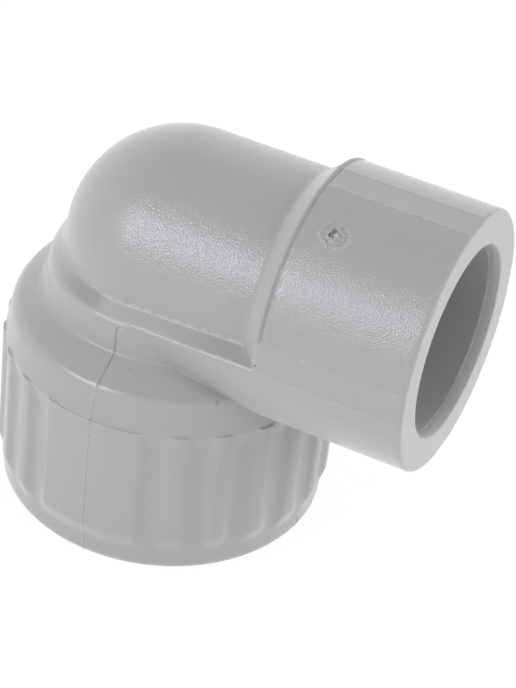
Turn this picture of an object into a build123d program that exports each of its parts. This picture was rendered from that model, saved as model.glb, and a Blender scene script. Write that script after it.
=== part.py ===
from build123d import *
import math
import os

# Threaded pipe elbow: a pipe socket on a side arm, over a ribbed head that holds a brass thread.
# All sizes in millimetres. Z runs up the head's axis from the head's end, X along the arm to its mouth.

# Where the two ends lie
socket_axis_height = 36.75
arm_reach = 37.95

# Pipe socket at the end of the arm
socket_diameter = 33.9
socket_length = 19.35
socket_bore_diameter = 24.0
socket_depth = 16.0
lead_in_length = 1.2
lead_in_rise = 0.5
mouth_edge_round = 0.5
socket_flat_half_width = 2.15

# Arm, its collar and the ledge along its sides and round the dome
arm_diameter = 29.5
collar_length = 2.5
ledge_slope = 45.0
neck_ledge_drop = 2.75

# Neck and shoulder over the head
neck_diameter = 33.4
shoulder_height = 2.6

# Ribbed head
head_diameter = 42.4
head_height = 26.95
head_top_diameter = 41.65
band_diameter = 43.3
head_end_round = 1.6
rib_diameter = 43.9
rib_bottom = 4.1
rib_length = 18.2
rib_places = 24
rib_top_width = 2.1
rib_root_width = 3.2
rib_end_bevel = 0.9
groove_run_out = 2.6
rib_bite = 1.0
seam_land_places = 3

# Waterway from the socket's stop to the thread
waterway_diameter = 19.0

# Threaded insert, a G 3/4 internal thread
thread_major_diameter = 26.44
thread_minor_diameter = 24.12
thread_depth = 17.0
thread_entry_rise = 0.3
insert_diameter = 31.0
insert_length = 20.0
insert_recess = 0.4
insert_throat_diameter = 20.0
insert_flange_diameter = 34.0
insert_flange_sides = 12
insert_flange_width = 4.0
insert_flange_count = 2

# Radii and levels that follow from the sizes above
socket_r = socket_diameter / 2
bore_r = socket_bore_diameter / 2
arm_r = arm_diameter / 2
neck_r = neck_diameter / 2
head_r = head_diameter / 2
head_top_r = head_top_diameter / 2
band_r = band_diameter / 2
rib_r = rib_diameter / 2
waterway_r = waterway_diameter / 2
minor_r = thread_minor_diameter / 2
insert_r = insert_diameter / 2
collar_x = arm_reach - socket_length
flat_level = math.sqrt(socket_r**2 - socket_flat_half_width**2)
ledge_fall = math.tan(math.radians(ledge_slope))
shoulder_z = head_height + shoulder_height
rib_top_z = rib_bottom + rib_length
insert_top_z = insert_recess + insert_length
thread_end_z = insert_recess + thread_depth
entry_r = thread_major_diameter / 2 + thread_entry_rise
entry_length = entry_r - minor_r
arm_axis = Axis((0, 0, socket_axis_height), (1, 0, 0))


def neck_ledge(distance):
    """Height of the ledge at the neck, at a distance from the head's axis."""
    return socket_axis_height - neck_ledge_drop + (neck_r - distance) * ledge_fall


def collar_ledge(distance):
    """Height of the ledge at the collar, where it meets the lower edge of the socket's side flat."""
    return socket_axis_height - socket_flat_half_width + (flat_level - distance) * ledge_fall


def turned_on_head(points):
    """A solid turned about the head's axis from (radius, height) points."""
    outline = Polyline(*[(r, 0, z) for r, z in points], close=True)
    return revolve(make_face(outline), Axis.Z)


def turned_on_arm(points):
    """A solid turned about the arm's axis from (distance along the arm, radius) points."""
    outline = Polyline(*[(x, 0, socket_axis_height + r) for x, r in points], close=True)
    return revolve(make_face(outline), arm_axis)


def head_neck_and_dome():
    """The head with its rounded end and its band, the sloping shoulder, the neck with its ledge, and the dome."""
    round_centre = Vector(head_r - head_end_round, 0, head_end_round)
    round_mid = round_centre + Vector(1, 0, -1) * (head_end_round * math.sqrt(0.5))
    dome_mid = Vector(math.sqrt(0.5) * arm_r, 0, socket_axis_height + math.sqrt(0.5) * arm_r)
    edges = [
        Line((0, 0, 0), (head_r - head_end_round, 0, 0)),
        ThreePointArc((head_r - head_end_round, 0, 0), round_mid, (head_r, 0, head_end_round)),
        Polyline(
            (head_r, 0, head_end_round),
            (head_r, 0, rib_top_z - groove_run_out),
            (band_r, 0, rib_top_z),
            (head_top_r, 0, head_height),
            (neck_r, 0, shoulder_z),
            (neck_r, 0, neck_ledge(neck_r)),
            (arm_r, 0, neck_ledge(arm_r)),
            (arm_r, 0, socket_axis_height),
        ),
        ThreePointArc(
            (arm_r, 0, socket_axis_height), dome_mid, (0, 0, socket_axis_height + arm_r)
        ),
        Line((0, 0, socket_axis_height + arm_r), (0, 0, 0)),
    ]
    return revolve(make_face(edges), Axis.Z)


def upper_arm_and_socket():
    """The slim upper arm, the collar's slope and the socket, with its mouth edge rounded."""
    blank = turned_on_arm(
        [
            (0, 0),
            (0, arm_r),
            (collar_x - collar_length, arm_r),
            (collar_x, socket_r),
            (arm_reach, socket_r),
            (arm_reach, 0),
        ]
    )
    mouth_edges = blank.edges().filter_by(GeomType.CIRCLE).group_by(Axis.X)[-1]
    return fillet(mouth_edges, mouth_edge_round)


def socket_flats(body):
    """Trims four narrow flats along the socket, at its top, bottom and two sides."""
    length = socket_length + collar_length
    middle_x = arm_reach - length / 2
    for turn in (0, 90, 180, 270):
        outward = Vector(0, 0, 1).rotate(Axis.X, turn)
        centre = Vector(middle_x, 0, socket_axis_height) + outward * (flat_level + socket_r / 2)
        body -= Pos(centre) * Rot(turn, 0, 0) * Box(length, socket_r, socket_r)
    return body


def under_arm():
    """The fuller underside of the arm, up to the ledge that slopes down and out from the slim upper arm."""
    barrel = turned_on_arm([(0, 0), (0, neck_r), (collar_x, socket_r), (collar_x, 0)])
    inner_y = arm_r / 2
    outer_y = 2 * socket_r
    low_z = -outer_y
    sections = []
    for x, ledge in ((0, neck_ledge), (collar_x, collar_ledge)):
        right_side = [(outer_y, low_z), (outer_y, ledge(outer_y)), (inner_y, ledge(inner_y))]
        left_side = [(-y, z) for y, z in reversed(right_side)]
        sections.append(Plane.YZ.offset(x) * make_face(Polyline(*right_side, *left_side, close=True)))
    return barrel & loft(sections, ruled=True)


def rib_land(places):
    """One raised land: as wide as the given number of rib places, with sloping flanks."""
    spread = (places - 1) / 2 * 2 * math.pi / rib_places
    flank = (rib_top_width - rib_root_width) / 2 / (rib_r - head_r)
    right_side = []
    for radius in (head_r - rib_bite, rib_r + rib_bite):
        half_width = rib_root_width / 2 + flank * (radius - head_r)
        right_side.append(Vector(half_width, -radius).rotate(Axis.Z, math.degrees(spread)))
    outer_mid = Vector(0, -(rib_r + 2 * rib_bite))
    left_side = [Vector(-p.X, p.Y) for p in reversed(right_side)]
    outline = Polyline(*right_side, outer_mid, *left_side, close=True)
    return extrude(Pos(0, 0, rib_bottom) * make_face(outline), rib_length)


def ribs():
    """All lands round the head: a wide one on the seam at the front and back, narrow ones between."""
    envelope = turned_on_head(
        [
            (head_r - 2 * rib_bite, rib_bottom),
            (head_r, rib_bottom),
            (rib_r, rib_bottom + rib_end_bevel),
            (rib_r, rib_top_z),
            (head_r - 2 * rib_bite, rib_top_z),
        ]
    )
    places_per_side = rib_places // 2
    wide_reach = seam_land_places // 2
    lands = []
    for place in range(rib_places):
        from_seam = place % places_per_side
        turn = Rot(0, 0, place * 360 / rib_places)
        if from_seam == 0:
            lands.append(turn * rib_land(seam_land_places))
        elif wide_reach < from_seam < places_per_side - wide_reach:
            lands.append(turn * rib_land(1))
    return [land & envelope for land in lands]


def insert_outside():
    """The insert's outside: a tube with many-sided flanges that lock it in the head."""
    outside = turned_on_head(
        [(0, insert_recess), (insert_r, insert_recess), (insert_r, insert_top_z), (0, insert_top_z)]
    )
    gap = (insert_length - insert_flange_count * insert_flange_width) / (insert_flange_count + 1)
    for index in range(insert_flange_count):
        flange_z = insert_recess + gap + index * (gap + insert_flange_width)
        face = Pos(0, 0, flange_z) * RegularPolygon(insert_flange_diameter / 2, insert_flange_sides)
        outside += extrude(face, insert_flange_width)
    return outside


def threaded_insert():
    """The brass insert, bored to the thread's minor diameter, with its entry and its throat."""
    bore = turned_on_head(
        [
            (0, insert_recess),
            (entry_r, insert_recess),
            (minor_r, insert_recess + entry_length),
            (minor_r, thread_end_z),
            (insert_throat_diameter / 2, thread_end_z),
            (insert_throat_diameter / 2, insert_top_z),
            (0, insert_top_z),
        ]
    )
    return insert_outside() - bore


def waterway():
    """The way through the body: the socket with its lead-in and stop, the bend, and the insert's seat."""
    stop_x = arm_reach - socket_depth
    socket_way = turned_on_arm(
        [
            (0, 0),
            (0, waterway_r),
            (stop_x, waterway_r),
            (stop_x, bore_r),
            (arm_reach - lead_in_length, bore_r),
            (arm_reach, bore_r + lead_in_rise),
            (arm_reach, 0),
        ]
    )
    drop = Pos(0, 0, insert_top_z) * Cylinder(
        waterway_r, socket_axis_height - insert_top_z, align=(Align.CENTER, Align.CENTER, Align.MIN)
    )
    mouth = Cylinder(insert_r, insert_recess, align=(Align.CENTER, Align.CENTER, Align.MIN))
    bend = Pos(0, 0, socket_axis_height) * Sphere(waterway_r)
    return [socket_way, drop, bend, mouth, insert_outside()]


def elbow_body():
    """The moulded body."""
    arm = socket_flats(upper_arm_and_socket())
    body = head_neck_and_dome() + arm + under_arm()
    for land in ribs():
        body += land
    for space in waterway():
        body -= space
    return body


os.makedirs("parts", exist_ok=True)
for name, shape in (("elbow_body", elbow_body()), ("threaded_insert", threaded_insert())):
    export_step(shape, f"parts/{name}.step")
    print(name, len(shape.solids()), "solid", round(shape.volume, 1), "mm3")
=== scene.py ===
import math

import bpy
import numpy as np
from mathutils import Euler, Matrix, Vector


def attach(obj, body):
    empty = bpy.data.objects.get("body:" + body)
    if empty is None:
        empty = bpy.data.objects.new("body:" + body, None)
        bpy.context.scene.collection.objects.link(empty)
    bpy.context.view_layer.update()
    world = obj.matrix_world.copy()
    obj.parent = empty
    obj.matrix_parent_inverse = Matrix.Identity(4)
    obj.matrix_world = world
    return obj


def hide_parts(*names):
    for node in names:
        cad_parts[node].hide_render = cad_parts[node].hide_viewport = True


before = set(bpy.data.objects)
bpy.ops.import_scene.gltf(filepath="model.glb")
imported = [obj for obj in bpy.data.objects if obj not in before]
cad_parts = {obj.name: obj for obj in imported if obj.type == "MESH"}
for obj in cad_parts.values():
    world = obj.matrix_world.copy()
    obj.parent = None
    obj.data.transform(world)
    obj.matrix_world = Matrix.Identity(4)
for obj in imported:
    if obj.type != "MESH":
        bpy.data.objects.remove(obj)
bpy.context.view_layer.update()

# moulded body, all in mm as on the drawing
elbow = {
    "armHeight": 36.75, "armReach": 37.95, "armRadius": 14.75,
    "socketRadius": 16.95, "collarX": 18.6, "collarLength": 2.5,
    "flatHalf": 2.15, "mouthRound": 0.45, "collarEdge": 0.14,
    "collarLip": 0.16, "collarLipWidth": 0.17, "collarCut": 0.17,
    "neckRadius": 16.7, "ledgeDrop": 2.75, "ledgeEdge": 0.13,
    "headRadius": 21.2, "bandRadius": 21.64, "headTopRadius": 20.825, "headHeight": 26.95,
    "grooveRun": 2.6, "shoulderTop": 29.55, "bandRound": 0.4, "endRound": 1.6,
    "ribRadius": 21.95, "ribLow": 4.1, "ribTop": 22.3, "ribCount": 24,
    "ribTopWidth": 2.0, "ribRootWidth": 3.3, "ribEdge": 0.34, "ribRoot": 0.7, "ribBevel": 0.9,
    "boreRadius": 12.0, "socketDepth": 16.0, "leadLength": 1.2, "leadRise": 0.5,
    "waterRadius": 9.5, "seatRadius": 15.53, "seatTop": 20.43,
    "seatFlange": 17.03, "flangeSides": 12, "flangeLow": (4.37, 12.37), "flangeHigh": (8.43, 16.43),
    "landTopEdge": 0.12, "landFootEdge": 0.6, "leadEdge": 0.3, "openingEdge": 0.15,
    "socketFillet": 0.25, "neckFillet": 0.18,
    # the net: first cell, how far it may stray, and edges that are long enough to split
    "startCell": 0.95, "flatness": 0.015, "shortest": 0.23, "detailEdge": 0.13,
    "mouthNet": 0.3, "ledgeNet": 0.5, "collarNet": 0.25, "landNet": 0.34,
    "hiddenFlatness": 0.08, "hiddenNet": 0.8,
}


def smoothStep(low, high, value):
    t = np.clip((value - low) / (high - low), 0, 1)
    return t * t * (3 - 2 * t)


def roundedCut(a, b, k):  # the common part of two shapes, its outer edge rounded by k
    return np.minimum(np.maximum(a, b), -k) + np.hypot(np.maximum(a + k, 0), np.maximum(b + k, 0))


def filletedJoin(a, b, k):  # two shapes together, the inner corner filled by k
    return -roundedCut(-a, -b, k)


def ribLands(x, y, z, r):
    s = elbow
    pitch = 2 * math.pi / s["ribCount"]
    turn = np.abs(np.arctan2(x, -y))  # from the front seam, either way
    turn = np.minimum(turn, math.pi - turn)  # the back is like the front
    place = np.maximum(np.round(turn / pitch), 1)
    side = (turn - place * pitch) * r
    side = np.where(place == 1, side, np.abs(side))  # the seam land runs over three places
    rise = s["ribRadius"] - s["headRadius"]
    lean = (s["ribRootWidth"] - s["ribTopWidth"]) / 2
    length = math.hypot(rise, lean)
    flank = ((side - s["ribRootWidth"] / 2) * rise + (r - s["headRadius"]) * lean) / length
    land = roundedCut(r - s["ribRadius"], flank, s["ribEdge"])
    land = roundedCut(land, z - s["ribTop"], s["landTopEdge"])
    bevel = math.hypot(rise, s["ribBevel"])
    foot = ((r - s["headRadius"]) * s["ribBevel"] - (z - s["ribLow"]) * rise) / bevel
    return roundedCut(land, foot, s["landFootEdge"])


def waterway(x, y, z, za, r, rho):
    s = elbow
    stopX = s["armReach"] - s["socketDepth"]
    leadX = s["armReach"] - s["leadLength"]
    bore = np.maximum(rho - s["boreRadius"], stopX - x)
    lead = (rho - s["boreRadius"] - (x - leadX) * s["leadRise"] / s["leadLength"]) * 0.92
    bore = filletedJoin(bore, np.maximum(lead, leadX - x), s["leadEdge"])
    across = np.maximum(rho - s["waterRadius"], np.maximum(-x, x - stopX - 1))
    drop = np.maximum(r - s["waterRadius"], np.maximum(z - s["armHeight"], s["seatTop"] - 1 - z))
    bend = np.sqrt(x * x + y * y + za * za) - s["waterRadius"]
    seat = np.maximum(r - s["seatRadius"], z - s["seatTop"])
    step = 2 * math.pi / s["flangeSides"]
    fold = np.mod(np.arctan2(y, x), step) - step / 2
    flange = r * np.cos(fold) - s["seatFlange"] * math.cos(step / 2)
    for low, high in zip(s["flangeLow"], s["flangeHigh"]):
        seat = np.minimum(seat, np.maximum(flange, np.maximum(low - z, z - high)))
    space = np.minimum(np.minimum(bore, across), np.minimum(drop, bend))
    return np.minimum(space, seat)


# flash lines, gate and knocks left by the mould and by handling, mm
marks = {
    "seamGroove": 0.15, "seamWidth": 0.10, "seamLip": 0.04, "lipWidth": 0.11,
    "ledgeFlash": 0.10, "ledgeFlashWidth": 0.13, "ledgeLine": 0.03, "ledgeLineWidth": 0.09,
    "flatLine": 0.075, "flatLineWidth": 0.11,
    "gateX": 23.3, "gateAngle": 29.6, "gateRing": 1.72, "gateCore": 0.85,
    # each ring of the gate: share of its radius, width, height, then its strength and the waves in it
    "gateRings": (
        (1.00, 0.15, 0.09, 0.7, (0.4, 2, 1.9), (0.4, 7, 0)),
        (0.78, 0.13, -0.08, 0.7, (0.4, 4, 0), (0.3, 9, 0)),
        (0.58, 0.12, 0.10, 0.6, (0.5, 3, 2.2), (0.3, 8, 0)),
    ),
    "nickDepth": 0.09, "speckRise": 0.02,
    # each nick: place and size; each speck: place, size and how dark it is
    "nicks": (
        (4.7, -14.65, 38.4, 0.18), (-9.0, -7.4, 45.7, 0.16),
        (15.6, -15.4, 13.3, 0.20), (0.1, -21.6, 4.2, 0.20),
    ),
    "specks": (
        (13.8, -15.4, 26.9, 0.34, 0.33), (13.9, -16.2, 32.0, 0.13, 0.8),
        (18.7, -16.8, 35.6, 0.16, 1.0), (2.7, -17.7, 28.8, 0.12, 0.5),
        (6.2, -20.1, 25.7, 0.10, 0.5), (15.9, -16.4, 34.9, 0.12, 0.7),
    ),
}


def ragged(t, seed):  # an uneven strength along a line, about 0.3 to 1.3
    wave = np.sin(2.3 * t + seed) + np.sin(5.9 * t + 2.1 * seed) + np.sin(13.7 * t + 3.7 * seed)
    return np.clip(0.8 + 0.3 * wave, 0.15, 1.5)


def mouldMarks(x, y, z):
    s, m = elbow, marks
    za = z - s["armHeight"]
    r = np.hypot(x, y)
    rho = np.hypot(y, za)
    height = np.zeros_like(x)
    near = np.zeros_like(x)

    def addLine(gap, width, tall, weight):
        nonlocal height, near
        height = height + tall * weight * np.exp(-((gap / width) ** 2))
        near = np.maximum(near, np.clip(weight, 0, 1) * np.exp(-((gap / (2.5 * width)) ** 2)))

    # seam down the front and back of the head, turned aside under the ledge: a groove with one lip
    onHead = (r > s["neckRadius"] - 0.8) & (np.abs(y) > 12) & (z > 0.4)
    upper = smoothStep(s["headHeight"] - 0.4, s["headHeight"] + 0.3, z)
    cornerZ = s["armHeight"] - s["ledgeDrop"] - 0.5
    corner = np.hypot(x - 0.6, z - cornerZ + 0.6) - 0.6
    turned = np.where(x < 0.6, -corner, cornerZ - z)
    side = np.where(z > cornerZ - 0.6, turned, x + 0.03 * np.sin(0.9 * z) * (1 - upper))
    there = onHead * (z < cornerZ + 0.6) * (1 - smoothStep(0.7, 1.7, x)) * (x > -1)
    wear = upper + (1 - upper) * 0.5 * ragged(z, 1.0)
    addLine(side, m["seamWidth"], -m["seamGroove"], there * wear)
    addLine(side + 0.22, m["lipWidth"], m["seamLip"], there * (1.5 - upper) * ragged(0.8 * z, 4.0))

    # small nicks, and specks of dirt stuck to the skin
    knocks = [(mark, -m["nickDepth"]) for mark in m["nicks"]]
    knocks += [(mark, m["speckRise"]) for mark in m["specks"]]
    for mark, rise in knocks:
        gap = np.sqrt((x - mark[0]) ** 2 + (y - mark[1]) ** 2 + (z - mark[2]) ** 2)
        addLine(gap, mark[3], rise, 1.0)

    # flash in the ledge's inner corner
    along = np.clip(x / s["collarX"], 0, 1)
    flatLevel = math.sqrt(s["socketRadius"] ** 2 - s["flatHalf"] ** 2)
    outY = (1 - along) * s["neckRadius"] + along * flatLevel
    outZ = (along - 1) * s["ledgeDrop"] - along * s["flatHalf"]
    cornerHeight = outY + outZ - s["armRadius"]
    inCorner = np.hypot(np.abs(y) - s["armRadius"], za - cornerHeight)
    span = smoothStep(-7.5, -4.5, x) * (1 - smoothStep(s["collarX"] - 3.2, s["collarX"] - 2.2, x))
    aside = np.where(x < 0, np.hypot(r - s["armRadius"], za - cornerHeight), inCorner)
    addLine(aside, m["ledgeFlashWidth"], m["ledgeFlash"], span * ragged(4.1 * x, 2.0))

    # a thin flash line along the ledge's outer edge
    edge = np.hypot(np.abs(y) - outY, za - outZ)
    edge = np.where(x < 0, np.hypot(r - s["neckRadius"], za + s["ledgeDrop"]), edge)
    span = smoothStep(-9, -5, x) * (1 - smoothStep(s["collarX"] - 0.6, s["collarX"], x))
    addLine(edge, m["ledgeLineWidth"], m["ledgeLine"], span * (0.6 + 0.4 * ragged(2.9 * x, 5.0)))

    # fine lines along the edges of the socket's flats
    onSocket = smoothStep(0.2, 0.6, x - s["collarX"]) * smoothStep(0.5, 1.2, s["armReach"] - x)
    onSocket = onSocket * (rho > s["socketRadius"] - 0.8)
    for across, along in ((za, y), (y, za)):
        sideOn = np.abs(along) > s["socketRadius"] * 0.8
        # one edge of each flat is clean, one is frayed
        clean = np.where(np.abs(za) < 6, across < 0, across > 0)
        strength = np.where(clean, 0.7, 1.15 * ragged(4.7 * x, 3.0))
        fromEdge = np.abs(across) - s["flatHalf"]
        addLine(fromEdge, m["flatLineWidth"], m["flatLine"], onSocket * sideOn * strength)

    # the gate: a broken-off stub in a low ring
    angle = math.radians(m["gateAngle"])
    u = x - m["gateX"]
    v = -y * math.cos(angle) - za * math.sin(angle)
    onTop = (za > 0) & (y < 0) & (rho > s["socketRadius"] - 1)
    dist = np.hypot(u, v)
    turn = np.arctan2(v, u)
    ringR = m["gateRing"] + 0.16 * np.sin(2 * turn + 0.6)
    ringR = ringR + 0.09 * np.sin(5 * turn) + 0.07 * np.sin(11 * turn + 1)
    for share, width, tall, strength, *waves in m["gateRings"]:
        for size, count, start in waves:
            strength = strength + size * np.sin(count * turn + start)
        addLine(dist - ringR * share, width, tall, onTop * strength)
    torn = np.sin(5.1 * u + 2.2 * v) + np.sin(3.3 * u - 6.7 * v + 1.1)
    torn = torn + np.sin(11.3 * u + 1.7) * np.sin(9.1 * v + 0.4)
    frayed = np.sin(13 * u + 4 * v) * np.sin(15 * v - 6 * u + 1)
    frayed = frayed + 0.6 * np.sin(23 * u - 9 * v) * np.sin(19 * v + 8 * u)
    height = height + 0.045 * onTop * frayed * smoothStep(0.7, 1.0, dist) * (1 - smoothStep(1.6, 2.3, dist))
    core = 1 - smoothStep(m["gateCore"] * 0.75, m["gateCore"] * 1.1, dist + 0.08 * np.sin(3 * turn))
    tear = np.hypot((u + 0.30) * 1.5, (v + 0.25 + 0.5 * u) * 0.9) + 0.09 * torn
    height = height + onTop * core * (0.10 + 0.11 * torn) - 0.5 * onTop * (1 - smoothStep(0.22, 0.5, tear))
    near = np.maximum(near, onTop * (1 - smoothStep(2.1, 2.5, dist)))
    return height, near


def elbowField(x, y, z):  # below zero inside the plastic
    s = elbow
    za = z - s["armHeight"]
    r = np.hypot(x, y)
    rho = np.hypot(y, za)
    away = smoothStep(2.0, 14.0, -x)  # the far side of the dome has softer edges

    runOut = smoothStep(s["ribTop"] - s["grooveRun"], s["ribTop"] + 0.1, z)
    groove = (s["bandRadius"] - s["headRadius"]) * (1 - runOut)
    wall = r - np.interp(z, [s["ribTop"], s["headHeight"]], [s["bandRadius"], s["headTopRadius"]]) + groove
    drop = s["headTopRadius"] - s["neckRadius"]
    climb = s["shoulderTop"] - s["headHeight"]
    shoulder = ((r - s["headTopRadius"]) * climb + (z - s["headHeight"]) * drop) / math.hypot(drop, climb)
    head = roundedCut(wall, shoulder, s["bandRound"] + 0.5 * away)
    # the ribs' roots are soft, but crisp at the top
    soft = s["ribRoot"] * (1 - 0.75 * smoothStep(s["ribTop"] - 1.2, s["ribTop"] - 0.4, z))
    head = filletedJoin(head, ribLands(x, y, z, r), soft)
    head = roundedCut(head, -z, s["endRound"])

    ledge = ((r - s["neckRadius"]) + (za + s["ledgeDrop"])) * math.sqrt(0.5)
    neck = roundedCut(r - s["neckRadius"], ledge, s["ledgeEdge"] + 0.9 * away)
    dome = np.where(za > 0, np.sqrt(x * x + y * y + za * za), r) - s["armRadius"]
    arm = np.maximum(rho - s["armRadius"], np.maximum(-x, x - s["collarX"]))
    upper = np.minimum(dome, arm)

    flatLevel = math.sqrt(s["socketRadius"] ** 2 - s["flatHalf"] ** 2)
    along = np.clip(x / s["collarX"], 0, 1)
    ledgeLevel = (1 - along) * (s["neckRadius"] - s["ledgeDrop"]) + along * (flatLevel - s["flatHalf"])
    under = rho - np.interp(x, [0, s["collarX"]], [s["neckRadius"], s["socketRadius"]])
    under = roundedCut(under, (np.abs(y) + za - ledgeLevel) * math.sqrt(0.5), s["ledgeEdge"])
    under = np.maximum(under, np.maximum(-x, x - s["collarX"] - 0.12))

    rise = s["socketRadius"] - s["armRadius"]
    slope = (rho - s["socketRadius"]) * s["collarLength"] - (x - s["collarX"]) * rise
    slope = slope / math.hypot(rise, s["collarLength"])
    onTop = smoothStep(s["flatHalf"] - 0.1, s["flatHalf"] + 0.3, za)
    lip = s["collarLip"] * onTop * np.exp(-(((x - s["collarX"] - 0.10) / s["collarLipWidth"]) ** 2))
    lip = lip - s["collarCut"] * onTop * np.exp(-(((x - s["collarX"] - 0.42) / 0.15) ** 2))
    barrel = np.maximum(rho - s["socketRadius"], np.maximum(np.abs(y), np.abs(za)) - flatLevel)
    socket = roundedCut(barrel - lip, slope - lip, s["collarEdge"])
    socket = roundedCut(socket, x - s["armReach"], s["mouthRound"])

    upper = filletedJoin(upper, socket, s["socketFillet"])
    lower = filletedJoin(neck, under, 0.01 + 0.24 * smoothStep(1.0, 5.0, x))
    fillet = (0.1 + 1.3 * away) * (1 - 0.97 * smoothStep(s["collarX"] - 0.8, s["collarX"] - 0.2, x))
    solid = filletedJoin(upper, lower, fillet)
    solid = np.maximum(filletedJoin(solid, head, s["neckFillet"] + 1.2 * away), -z)
    return roundedCut(solid, -waterway(x, y, z, za, r, rho), s["openingEdge"])


def detailedField(x, y, z):
    return elbowField(x, y, z) - mouldMarks(x, y, z)[0]


def fieldSlope(field, points, step=0.01):
    value = []
    for axis in range(3):
        shift = np.zeros(3)
        shift[axis] = step
        value.append((field(*(points + shift).T) - field(*(points - shift).T)) / (2 * step))
    return np.stack(value, 1)


def settle(field, points, rounds):  # moves points on to the skin
    for _ in range(rounds):
        slope = fieldSlope(field, points)
        size = np.maximum((slope ** 2).sum(1), 0.05)
        move = field(*points.T) / size
        points = points - slope * np.clip(move, -0.4, 0.4)[:, None]
    return points


def skinFromField(field, low, high, cell):  # first net of the skin on a grid
    axes = [np.arange(a, b, cell) for a, b in zip(low, high)]
    grid = np.stack([field(*(g.ravel() for g in np.meshgrid(xs, axes[1], axes[2], indexing="ij")))
                     for xs in axes[0][:, None]]).reshape([len(a) for a in axes])
    inside = grid < 0
    shape = tuple(n - 1 for n in grid.shape)
    total = np.zeros(shape + (3,))
    count = np.zeros(shape)
    quads = []
    for axis in range(3):
        first = [slice(None)] * 3
        second = [slice(None)] * 3
        first[axis] = slice(0, -1)
        second[axis] = slice(1, None)
        a, b = grid[tuple(first)], grid[tuple(second)]
        cut = np.argwhere(inside[tuple(first)] != inside[tuple(second)])
        va, vb = a[tuple(cut.T)], b[tuple(cut.T)]
        spot = cut.astype(float)
        spot[:, axis] += va / (va - vb)
        others = [k for k in range(3) if k != axis]
        ring = []
        for du, dv in ((0, 0), (1, 0), (1, 1), (0, 1)):
            cellAt = cut.copy()
            cellAt[:, others[0]] -= du
            cellAt[:, others[1]] -= dv
            np.add.at(total, tuple(cellAt.T), spot)
            np.add.at(count, tuple(cellAt.T), 1)
            ring.append(np.ravel_multi_index(tuple(cellAt.T), shape))
        ring = np.stack(ring, 1)
        flip = (va < 0) == (axis == 1)
        ring[flip] = ring[flip][:, ::-1]
        quads.append(ring)
    used = count > 0
    number = np.full(count.size, -1)
    number[used.ravel()] = np.arange(used.sum())
    points = total[used] / count[used][:, None] * cell + np.array(low)
    quads = number[np.concatenate(quads)]
    return points, np.concatenate([quads[:, [0, 1, 2]], quads[:, [0, 2, 3]]])


def evenOut(field, points, tris, rounds):  # spaces the net's points evenly over the skin
    for _ in range(rounds):
        total = np.zeros_like(points)
        count = np.zeros(len(points))
        for a, b in ((0, 1), (1, 2), (2, 0)):
            np.add.at(total, tris[:, a], points[tris[:, b]])
            np.add.at(count, tris[:, a], 1)
        points = settle(field, 0.4 * points + 0.6 * total / count[:, None], 2)
    return points


def splitLong(field, points, tris, isLong):
    n = len(points)
    pairs = np.sort(tris[:, [[0, 1], [1, 2], [2, 0]]].reshape(-1, 2), 1)
    keys, back = np.unique(pairs[:, 0].astype(np.int64) * n + pairs[:, 1], return_inverse=True)
    ends = np.stack([keys // n, keys % n], 1)
    chosen = isLong(points[ends[:, 0]], points[ends[:, 1]])
    number = np.full(len(keys), -1)
    number[chosen] = n + np.arange(chosen.sum())
    mids = settle(field, points[ends[chosen]].mean(1), 3)
    mid = number[back].reshape(-1, 3)
    split = (mid >= 0).sum(1)
    out = [tris[split == 0]]
    for k in range(3):
        a, b, c = (tris[:, (k + j) % 3] for j in range(3))
        ab, bc, ca = (mid[:, (k + j) % 3] for j in range(3))
        one = (split == 1) & (ab >= 0)
        out += [np.stack([p[one] for p in t], 1) for t in ((a, ab, c), (ab, b, c))]
        two = (split == 2) & (ab < 0)
        out += [np.stack([p[two] for p in t], 1) for t in ((c, ca, bc), (a, b, bc), (a, bc, ca))]
        if k == 0:
            three = split == 3
            four = ((a, ab, ca), (ab, b, bc), (ca, bc, c), (ab, bc, ca))
            out += [np.stack([p[three] for p in t], 1) for t in four]
    return np.concatenate([points, mids]), np.concatenate(out)


def wantsSplit(p, q):
    s = elbow
    length = np.linalg.norm(p - q, axis=1)
    middle = (p + q) / 2
    off = np.abs(detailedField(*middle.T))
    near = np.maximum(mouldMarks(*middle.T)[1], np.maximum(mouldMarks(*p.T)[1], mouldMarks(*q.T)[1]))
    x, y, z = middle.T
    za = z - s["armHeight"]
    r, rho = np.hypot(x, y), np.hypot(y, za)
    unseen = (waterway(x, y, z, za, r, rho) < 0.1) & (x < s["armReach"] - 2.2) & (z > 0.7)
    strays = (off > s["flatness"]) & (length > s["shortest"])
    bent = np.where(unseen, (off > s["hiddenFlatness"]) & (length > s["hiddenNet"]), strays)
    fine = (near > 0.35) & (length > s["detailEdge"] * 1.4)
    mouth = (x > s["armReach"] - 2.0) & (rho < s["boreRadius"] + 0.9)
    fine |= mouth & (length > s["mouthNet"])
    out = np.where(x < 0, r, np.abs(y))
    ledge = (za < -0.2) & (za > -3.2) & (out > s["armRadius"] - 0.3) & (out < 17.2)
    fine |= ledge & (x < s["collarX"]) & (x > -8) & (length > s["ledgeNet"])
    collar = (np.abs(x - s["collarX"] - 0.3) < 0.55) & (za > -2.4) & (rho > s["socketRadius"] - 0.7)
    fine |= collar & (length > s["collarNet"])
    landTops = (np.abs(z - s["ribTop"]) < 0.45) & (r > s["headRadius"] - 0.2)
    fine |= landTops & (length > s["landNet"])
    return bent | fine


def newPiece(name, points, tris, normals):
    mesh = bpy.data.meshes.new(name)
    mesh.from_pydata((points * 0.001).tolist(), [], tris.tolist())
    mesh.polygons.foreach_set("use_smooth", [True] * len(mesh.polygons))
    mesh.normals_split_custom_set_from_vertices(normals.tolist())
    mesh.update()
    piece = bpy.data.objects.new(name, mesh)
    bpy.context.scene.collection.objects.link(piece)
    return piece


def store(piece, name, value):  # one number at each point, for the finish to read
    piece.data.attributes.new(name, "FLOAT", "POINT").data.foreach_set("value", value.astype(np.float32))


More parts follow.
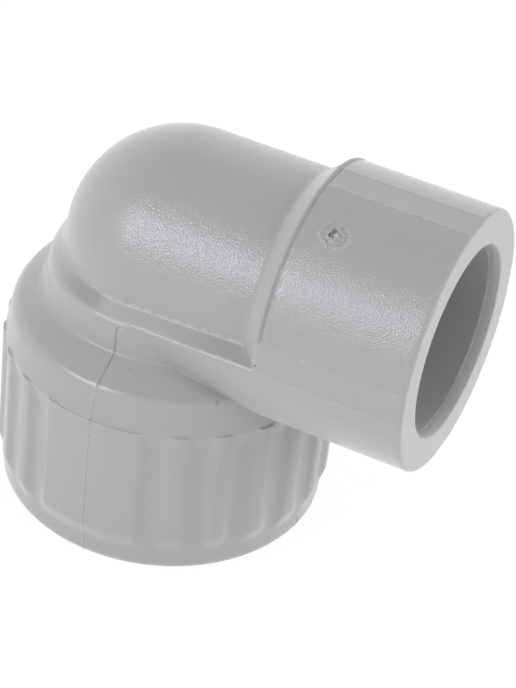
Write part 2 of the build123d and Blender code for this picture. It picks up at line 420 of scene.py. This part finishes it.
def makeElbow():
    low, high = (-23.13, -23.17, -1.11), (39.2, 23.3, 54.2)  # the box that holds the body
    points, tris = skinFromField(elbowField, low, high, elbow["startCell"])
    points = settle(elbowField, points, 8)
    points = evenOut(elbowField, points, tris, 4)
    points = settle(detailedField, points, 2)
    print("elbow: first net", len(tris), "triangles")
    for turn in range(5):
        points, tris = splitLong(detailedField, points, tris, wantsSplit)
        print("elbow: finer net", turn + 1, len(tris), "triangles")
    points = settle(detailedField, points, 3)
    slope = fieldSlope(detailedField, points, 0.02)
    normals = slope / np.maximum(np.linalg.norm(slope, axis=1), 1e-9)[:, None]
    piece = newPiece("elbow_moulding", points, tris, normals)

    # where the mould was spark-roughened: the upper arm and dome, and the socket between its flats
    s = elbow
    x, y, z = points.T
    za = z - s["armHeight"]
    r, rho = np.hypot(x, y), np.hypot(y, za)
    dome = np.where(za > 0, np.sqrt(x * x + y * y + za * za), r)
    onArm = (za > -1.2) & (x < s["collarX"] - s["collarLength"])
    onArm &= np.where(x < 0, dome, rho) < s["armRadius"] + 0.1
    between = np.minimum(np.abs(y), np.abs(za)) - s["flatHalf"]
    onSocket = (x < s["armReach"] - 0.45) & (np.abs(rho - s["socketRadius"]) < 0.6)
    past = x - s["collarX"]
    onSocket = onSocket * np.where(za > 0, smoothStep(0.5, 0.8, past), smoothStep(2.0, 10.0, past))
    rough = np.where(onArm, smoothStep(-7.0, 0.0, x), 0.0) + onSocket * smoothStep(-0.05, 0.2, between)
    store(piece, "grain", rough)

    # painted shade on the ledge, most where it runs in under the collar, and in every inner corner
    out = np.where(x < 0, r, np.abs(y))
    along = np.clip(x / s["collarX"], 0, 1)
    flatLevel = math.sqrt(s["socketRadius"] ** 2 - s["flatHalf"] ** 2)
    outer = (1 - along) * s["neckRadius"] + along * flatLevel
    level = outer - (1 - along) * s["ledgeDrop"] - along * s["flatHalf"]
    paintedShade = np.exp(-(((out + za - level) / 0.3) ** 2)) * smoothStep(0.12, 0.4, out - s["armRadius"])
    paintedShade *= (1 - smoothStep(-0.35, -0.1, out - outer)) * (x < s["collarX"] - 0.1)
    paintedShade *= smoothStep(-13, -3, x) * (0.60 + 0.32 * smoothStep(4, 14, x))
    # painted shade in inner corners: darker where the plastic close round the skin hides it
    hidden = np.zeros_like(x)
    for reach, share in ((2.0, 0.5), (4.5, 0.5)):
        hidden += share * (1 - np.clip(elbowField(*(points + normals * reach).T) / reach, 0, 1))
    store(piece, "paintedShade", np.maximum(paintedShade, 0.25 * smoothStep(0.5, 0.95, hidden)))

    speck = np.zeros_like(x)
    for spot in marks["specks"]:
        gap = np.linalg.norm(points - np.array(spot[:3]), axis=1)
        speck = np.maximum(speck, spot[4] * smoothStep(-1.3 * spot[3], -0.5 * spot[3], -gap))
    store(piece, "speck", speck)

    # edges that stand proud, and the collar's chamfer, painted paler as a highlight
    step = 0.22
    bend = -6 * elbowField(x, y, z)
    for axis in range(3):
        for way in (-step, step):
            bend += elbowField(*(points + np.eye(3)[axis] * way).T)
    chamfer = smoothStep(-0.1, 0.3, s["collarX"] - x)
    chamfer = chamfer * smoothStep(-0.2, 0.3, x - s["collarX"] + s["collarLength"])
    chamfer = 0.75 * chamfer * smoothStep(0.15, 0.5, rho - s["armRadius"]) * smoothStep(-2.0, 2.5, za)
    flash = np.clip(mouldMarks(x, y, z)[0] / 0.06, 0, 1)  # flash and torn skin are paler too
    paintedHighlight = np.maximum(0.5 * smoothStep(1.0, 3.4, bend / step ** 2), 0.9 * flash)
    store(piece, "paintedHighlight", np.maximum(paintedHighlight, chamfer))
    return piece


# grey polypropylene, lengths in metres where they are lengths
plastic = {
    "pale": (0.373, 0.360, 0.341), "deep": (0.354, 0.341, 0.324), "mottleScale": 95,
    # a darker colour painted as shade on the ledge and in inner corners, a paler one painted as a highlight
    # on proud edges, flash and the collar's chamfer, then the colour of dirt specks
    "paintedShade": (0.235, 0.222, 0.205), "paintedHighlight": (0.420, 0.405, 0.384), "speck": (0.125, 0.092, 0.066),
    "roughness": (0.24, 0.19), "grainScale": 5300, "grainDepth": 0.00005,  # smooth skin first, then grained
    "skinScale": 7000, "skinDepth": 0.00001, "sinkScale": 160, "sinkDepth": 0.00006,
    "sheen": 0.28, "sheenRoughness": 0.42, "glossSpread": 0.03,
}


def addNode(tree, kind, **values):
    made = tree.nodes.new(kind)
    for name, value in values.items():
        if hasattr(made, name):
            setattr(made, name, value)
        else:
            made.inputs[name.replace("_", " ")].default_value = value
    return made


def seenRays(tree):  # 1 for the rays of camera, gloss and glass, 0 for those that light things
    path = addNode(tree, "ShaderNodeLightPath")
    seen = path.outputs["Is Camera Ray"]
    for ray in ("Is Glossy Ray", "Is Transmission Ray"):
        either = addNode(tree, "ShaderNodeMath", operation="MAXIMUM")
        tree.links.new(seen, either.inputs[0])
        tree.links.new(path.outputs[ray], either.inputs[1])
        seen = either.outputs["Value"]
    return seen


def greyPlastic():
    s = plastic
    material = bpy.data.materials.new("greyPlastic")
    material.use_nodes = True
    tree = material.node_tree
    join = tree.links.new
    shader = tree.nodes["Principled BSDF"]
    place = addNode(tree, "ShaderNodeTexCoord").outputs["Object"]

    mottle = addNode(tree, "ShaderNodeTexNoise", Scale=s["mottleScale"], Detail=3.0, Roughness=0.6)
    join(place, mottle.inputs["Vector"])
    tone = addNode(tree, "ShaderNodeMix", data_type="RGBA")
    tone.inputs["A"].default_value = (*s["deep"], 1)
    tone.inputs["B"].default_value = (*s["pale"], 1)
    join(mottle.outputs["Fac"], tone.inputs["Factor"])
    # painted shade, painted highlight, then dirt specks, each laid over the tone where its mask says
    for name in ("paintedShade", "paintedHighlight", "speck"):
        over = addNode(tree, "ShaderNodeMix", data_type="RGBA")
        over.inputs["B"].default_value = (*s[name], 1)
        mask = addNode(tree, "ShaderNodeAttribute", attribute_name=name)
        join(mask.outputs["Fac"], over.inputs["Factor"])
        join(tone.outputs["Result"], over.inputs["A"])
        tone = over
    join(tone.outputs["Result"], shader.inputs["Base Color"])
    shader.inputs["Sheen Weight"].default_value = s["sheen"]
    shader.inputs["Sheen Roughness"].default_value = s["sheenRoughness"]

    grain = addNode(tree, "ShaderNodeTexNoise", Scale=s["grainScale"], Detail=0.0)
    join(place, grain.inputs["Vector"])
    where = addNode(tree, "ShaderNodeAttribute", attribute_name="grain")
    height = addNode(tree, "ShaderNodeMath", operation="MULTIPLY")
    join(grain.outputs["Fac"], height.inputs[0])
    join(where.outputs["Fac"], height.inputs[1])

    skin = addNode(tree, "ShaderNodeTexNoise", Scale=s["skinScale"], Detail=1.0)
    join(place, skin.inputs["Vector"])
    sink = addNode(tree, "ShaderNodeTexNoise", Scale=s["sinkScale"], Detail=1.0)
    join(place, sink.inputs["Vector"])
    bumpSink = addNode(tree, "ShaderNodeBump", Distance=s["sinkDepth"])
    join(sink.outputs["Fac"], bumpSink.inputs["Height"])
    bumpSkin = addNode(tree, "ShaderNodeBump", Distance=s["skinDepth"])
    join(skin.outputs["Fac"], bumpSkin.inputs["Height"])
    join(bumpSink.outputs["Normal"], bumpSkin.inputs["Normal"])
    bumpGrain = addNode(tree, "ShaderNodeBump", Distance=s["grainDepth"])
    join(height.outputs["Value"], bumpGrain.inputs["Height"])
    join(bumpSkin.outputs["Normal"], bumpGrain.inputs["Normal"])
    join(bumpGrain.outputs["Normal"], shader.inputs["Normal"])

    gloss = addNode(tree, "ShaderNodeMapRange", To_Min=s["roughness"][0], To_Max=s["roughness"][1])
    join(where.outputs["Fac"], gloss.inputs["Value"])
    vary = addNode(tree, "ShaderNodeMath", operation="MULTIPLY_ADD")
    vary.inputs[1].default_value = s["glossSpread"]
    join(mottle.outputs["Fac"], vary.inputs[0])
    join(gloss.outputs["Result"], vary.inputs[2])
    join(vary.outputs["Value"], shader.inputs["Roughness"])
    return material


moulding = makeElbow()
moulding.data.materials.append(greyPlastic())
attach(moulding, "root")
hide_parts("elbow_body")

# brass insert with its pipe thread, mm
insert = {
    "low": 0.4, "top": 20.4, "radius": 15.5, "edge": 0.3, "entryRadius": 13.52, "entryLength": 1.46,
    "minorRadius": 12.06, "majorRadius": 13.22, "pitch": 1.814, "threadTop": 17.4, "throatRadius": 10.0,
    "flangeRadius": 17.0, "flangeSides": 12, "flanges": ((4.4, 8.4), (12.4, 16.4)),
    "flangeEdge": 0.25, "throatEdge": 0.2, "sharpFrom": 38, "steps": 144, "rowsPerTurn": 14,
}


def makeInsert():
    s = insert
    turn = np.arange(s["steps"]) * 2 * math.pi / s["steps"]
    even = np.ones(s["steps"])
    side = 2 * math.pi / s["flangeSides"]
    manySided = s["flangeRadius"] * math.cos(side / 2) / np.cos(np.mod(turn, side) - side / 2)

    def threadRow(z):
        part = np.mod(z / s["pitch"] - turn / (2 * math.pi), 1)
        ridge = np.clip((np.abs(2 * part - 1) - 0.167) / 0.666, 0, 1)
        ridge = 0.7 * ridge + 0.3 * smoothStep(0, 1, ridge)
        runOut = smoothStep(s["threadTop"] - 1.6 * s["pitch"], s["threadTop"] - 0.2, z)
        ridge = ridge * (1 - runOut)
        radius = s["minorRadius"] + (s["majorRadius"] - s["minorRadius"]) * ridge
        cone = s["entryRadius"] - (z - s["low"]) * (s["entryRadius"] - s["minorRadius"]) / s["entryLength"]
        return np.maximum(radius, cone)

    rows = [(even * (s["radius"] - s["edge"]), s["low"])]
    for z in np.arange(s["low"], s["threadTop"], s["pitch"] / s["rowsPerTurn"]):
        rows.append((threadRow(z), z))
    outside, throat, cut = even * s["radius"], even * s["throatRadius"], s["throatEdge"]
    throatRim = even * (s["throatRadius"] + cut)
    rows += [(even * s["minorRadius"], s["threadTop"]), (throatRim, s["threadTop"])]
    rows += [(throat, s["threadTop"] + cut), (throat, s["top"] - cut)]
    rows += [(throatRim, s["top"]), (even * (s["radius"] - s["edge"]), s["top"])]
    rows.append((outside, s["top"] - s["edge"]))
    bevel = s["flangeEdge"]
    for low, high in reversed(s["flanges"]):
        rows += [(outside, high), (manySided - bevel, high), (manySided, high - bevel)]
        rows += [(manySided, low + bevel), (manySided - bevel, low), (outside, low)]
    rows.append((outside, s["low"] + s["edge"]))

    points = np.concatenate([np.stack([r * np.cos(turn), r * np.sin(turn), even * z], 1) for r, z in rows])
    n, count = s["steps"], len(rows)
    along = np.arange(n)
    faces = []
    for row in range(count):
        here, there = row * n, ((row + 1) % count) * n
        ahead = (along + 1) % n
        faces.append(np.stack([here + along, there + along, there + ahead, here + ahead], 1))
    mesh = bpy.data.meshes.new("brass_insert")
    mesh.from_pydata((points * 0.001).tolist(), [], np.concatenate(faces).tolist())
    mesh.polygons.foreach_set("use_smooth", [True] * len(mesh.polygons))
    mesh.set_sharp_from_angle(angle=math.radians(s["sharpFrom"]))
    piece = bpy.data.objects.new("brass_insert", mesh)
    bpy.context.scene.collection.objects.link(piece)
    print("insert:", len(mesh.polygons) * 2, "triangles")
    return piece


# turned brass, a little stained
brass = {
    "fresh": (0.80, 0.62, 0.33), "dull": (0.60, 0.44, 0.22), "roughness": (0.20, 0.42), "stainScale": 130,
    "toolScale": 260, "toolDepth": 0.000012, "pitScale": 2600, "pitDepth": 0.00001,
}


def turnedBrass():
    s = brass
    material = bpy.data.materials.new("turnedBrass")
    material.use_nodes = True
    tree = material.node_tree
    join = tree.links.new
    shader = tree.nodes["Principled BSDF"]
    shader.inputs["Metallic"].default_value = 1.0
    place = addNode(tree, "ShaderNodeTexCoord").outputs["Object"]
    stain = addNode(tree, "ShaderNodeTexNoise", Scale=s["stainScale"], Detail=4.0, Roughness=0.65)
    join(place, stain.inputs["Vector"])
    tone = addNode(tree, "ShaderNodeMix", data_type="RGBA")
    tone.inputs["A"].default_value = (*s["dull"], 1)
    tone.inputs["B"].default_value = (*s["fresh"], 1)
    spread = addNode(tree, "ShaderNodeMapRange")
    spread.inputs["From Min"].default_value, spread.inputs["From Max"].default_value = 0.3, 0.6
    join(stain.outputs["Fac"], spread.inputs["Value"])
    join(spread.outputs["Result"], tone.inputs["Factor"])
    join(tone.outputs["Result"], shader.inputs["Base Color"])
    gloss = addNode(tree, "ShaderNodeMapRange", To_Min=s["roughness"][1], To_Max=s["roughness"][0])
    join(stain.outputs["Fac"], gloss.inputs["Value"])
    join(gloss.outputs["Result"], shader.inputs["Roughness"])
    # rings the cutting tool left on the end face
    tool = addNode(tree, "ShaderNodeTexWave", wave_type="RINGS", rings_direction="Z",
                   Scale=s["toolScale"], Distortion=0.6, Detail=1.0)
    join(place, tool.inputs["Vector"])
    pits = addNode(tree, "ShaderNodeTexNoise", Scale=s["pitScale"], Detail=2.0)
    join(place, pits.inputs["Vector"])
    bumpTool = addNode(tree, "ShaderNodeBump", Distance=s["toolDepth"])
    join(tool.outputs["Fac"], bumpTool.inputs["Height"])
    bumpPits = addNode(tree, "ShaderNodeBump", Distance=s["pitDepth"])
    join(pits.outputs["Fac"], bumpPits.inputs["Height"])
    join(bumpTool.outputs["Normal"], bumpPits.inputs["Normal"])
    join(bumpPits.outputs["Normal"], shader.inputs["Normal"])
    return material


threaded = makeInsert()
threaded.data.materials.append(turnedBrass())
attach(threaded, "root")
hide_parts("threaded_insert")

# camera as in the photograph
cameraSet = {
    "place": (0.111976, -0.240800, 0.218746), "turn": (53.2515, -5.4656, 26.6567),
    "lens": 133.8756, "sensor": 36, "nearest": 0.01,
}
camera = bpy.data.objects.new("camera", bpy.data.cameras.new("camera"))
camera.data.sensor_width = cameraSet["sensor"]
camera.data.lens = cameraSet["lens"]
camera.location = cameraSet["place"]
camera.rotation_euler = Euler([math.radians(a) for a in cameraSet["turn"]])
camera.data.clip_start = cameraSet["nearest"]
bpy.context.scene.collection.objects.link(camera)
bpy.context.scene.camera = camera
print("camera: set")

# pale floor lit a little from beneath, white to the camera with a faint shadow
floorSet = {
    "size": 3.0, "drop": 0.00015, "paint": 0.82, "glow": 0.38, "warmth": (1, 0.975, 0.93),
    "whiteShare": 0.93, "roughness": 0.9, "gloss": 0.1,
}
floorMesh = bpy.data.meshes.new("floor")
half = floorSet["size"] / 2
corners = [(-half, -half, 0), (half, -half, 0), (half, half, 0), (-half, half, 0)]
floorMesh.from_pydata(corners, [], [(0, 1, 2, 3)])
floor = bpy.data.objects.new("floor", floorMesh)
floor.location.z = -floorSet["drop"]  # just clear of the head's end, which lies at zero
bpy.context.scene.collection.objects.link(floor)


def floorPaint():
    material = bpy.data.materials.new("floorPaint")
    material.use_nodes = True
    tree = material.node_tree
    join = tree.links.new
    shader = tree.nodes["Principled BSDF"]
    shader.inputs["Base Color"].default_value = (floorSet["paint"],) * 3 + (1,)
    shader.inputs["Roughness"].default_value = floorSet["roughness"]
    shader.inputs["Specular IOR Level"].default_value = floorSet["gloss"]
    shader.inputs["Emission Color"].default_value = (*floorSet["warmth"], 1)
    shader.inputs["Emission Strength"].default_value = floorSet["glow"]
    white = addNode(tree, "ShaderNodeEmission", Strength=1.0)
    share = addNode(tree, "ShaderNodeMath", operation="MULTIPLY")
    share.inputs[1].default_value = floorSet["whiteShare"]
    mix = addNode(tree, "ShaderNodeMixShader")
    join(seenRays(tree), share.inputs[0])
    join(share.outputs["Value"], mix.inputs["Fac"])
    join(shader.outputs["BSDF"], mix.inputs[1])
    join(white.outputs["Emission"], mix.inputs[2])
    clear = addNode(tree, "ShaderNodeBsdfTransparent")  # seen from below, the floor is glass
    under = addNode(tree, "ShaderNodeNewGeometry").outputs["Backfacing"]
    both = addNode(tree, "ShaderNodeMixShader")
    join(under, both.inputs["Fac"])
    join(mix.outputs["Shader"], both.inputs[1])
    join(clear.outputs["BSDF"], both.inputs[2])
    join(both.outputs["Shader"], tree.nodes["Material Output"].inputs["Surface"])
    return material


floorMesh.materials.append(floorPaint())
print("floor: laid")

# studio: white walls with soft glows low and half way up, a dim ceiling, and one softbox
studio = {
    "glows": (  # degrees round from the front to the right, height band, strength
        (90, "low", 1.60), (180, "low", 1.60), (225, "low", 2.35), (270, "low", 1.25), (315, "low", 0.24),
        (45, "half", 0.56), (90, "half", 2.15), (135, "half", 0.68), (180, "half", 0.80),
    ),
    "ceiling": 0.53, "lowTop": (0.25, 0.55), "halfTop": (0.60, 0.90), "narrow": 4.0,
    "air": (0.98, 1.0, 1.035),  # a little cool, the floor gives warmth back
}


def studioWorld():
    world = bpy.data.worlds.new("studio")
    world.use_nodes = True
    tree = world.node_tree
    join = tree.links.new
    glow = tree.nodes["Background"]
    facing = addNode(tree, "ShaderNodeTexCoord").outputs["Generated"]
    split = addNode(tree, "ShaderNodeSeparateXYZ")
    join(facing, split.inputs["Vector"])
    level = addNode(tree, "ShaderNodeVectorMath", operation="MULTIPLY")  # the direction, laid level
    level.inputs[1].default_value = (1, 1, 0)
    join(facing, level.inputs[0])
    compass = addNode(tree, "ShaderNodeVectorMath", operation="NORMALIZE")
    join(level.outputs["Vector"], compass.inputs[0])

    def fade(limits, start, end):
        made = addNode(tree, "ShaderNodeMapRange", interpolation_type="SMOOTHSTEP",
                       To_Min=start, To_Max=end)
        made.inputs["From Min"].default_value, made.inputs["From Max"].default_value = limits
        join(split.outputs["Z"], made.inputs["Value"])
        return made.outputs["Result"]

    def sums(kind, first, second, clamp=False):
        made = addNode(tree, "ShaderNodeMath", operation=kind, use_clamp=clamp)
        for socket, value in zip(made.inputs, (first, second)):
            if isinstance(value, float):
                socket.default_value = value
            else:
                join(value, socket)
        return made.outputs["Value"]

    bands = {"low": fade(studio["lowTop"], 1.0, 0.0), "top": fade(studio["halfTop"], 0.0, 1.0)}
    bands["half"] = sums("SUBTRACT", sums("SUBTRACT", 1.0, bands["low"]), bands["top"], True)
    total = sums("MULTIPLY", bands["top"], studio["ceiling"])
    for degrees, band, strength in studio["glows"]:
        turn = math.radians(degrees)
        lean = addNode(tree, "ShaderNodeVectorMath", operation="DOT_PRODUCT")
        lean.inputs[1].default_value = (math.sin(turn), -math.cos(turn), 0)
        join(compass.outputs["Vector"], lean.inputs[0])
        lobe = sums("POWER", sums("MAXIMUM", lean.outputs["Value"], 0.0), studio["narrow"])
        total = sums("ADD", total, sums("MULTIPLY", sums("MULTIPLY", lobe, bands[band]), strength))
    join(total, glow.inputs["Strength"])
    glow.inputs["Color"].default_value = (*studio["air"], 1)

    white = addNode(tree, "ShaderNodeBackground", Strength=1.0)  # what the camera and gloss see
    white.inputs["Color"].default_value = (1, 1, 1, 1)
    mix = addNode(tree, "ShaderNodeMixShader")
    join(seenRays(tree), mix.inputs["Fac"])
    join(glow.outputs["Background"], mix.inputs[1])
    join(white.outputs["Background"], mix.inputs[2])
    join(mix.outputs["Shader"], tree.nodes["World Output"].inputs["Surface"])
    return world


bpy.context.scene.world = studioWorld()

# the softbox at the front left
keyBox = {
    "degrees": -31, "up": 30, "away": 0.8, "aim": (0.008, 0, 0.028), "size": (0.42, 0.38),
    "power": 3.3, "tint": (0.925, 0.975, 1.10),
}
lamp = bpy.data.lights.new("keyBox", "AREA")
lamp.shape = "RECTANGLE"
lamp.size, lamp.size_y = keyBox["size"]
lamp.energy = keyBox["power"]
lamp.color = keyBox["tint"]
box = bpy.data.objects.new("keyBox", lamp)
turn, up = math.radians(keyBox["degrees"]), math.radians(keyBox["up"])
toBox = Vector((math.sin(turn) * math.cos(up), -math.cos(turn) * math.cos(up), math.sin(up)))
box.location = Vector(keyBox["aim"]) + toBox * keyBox["away"]
box.rotation_euler = toBox.to_track_quat("Z", "Y").to_euler()
bpy.context.scene.collection.objects.link(box)
print("studio: lit")

bpy.context.scene.view_settings.view_transform = "Standard"
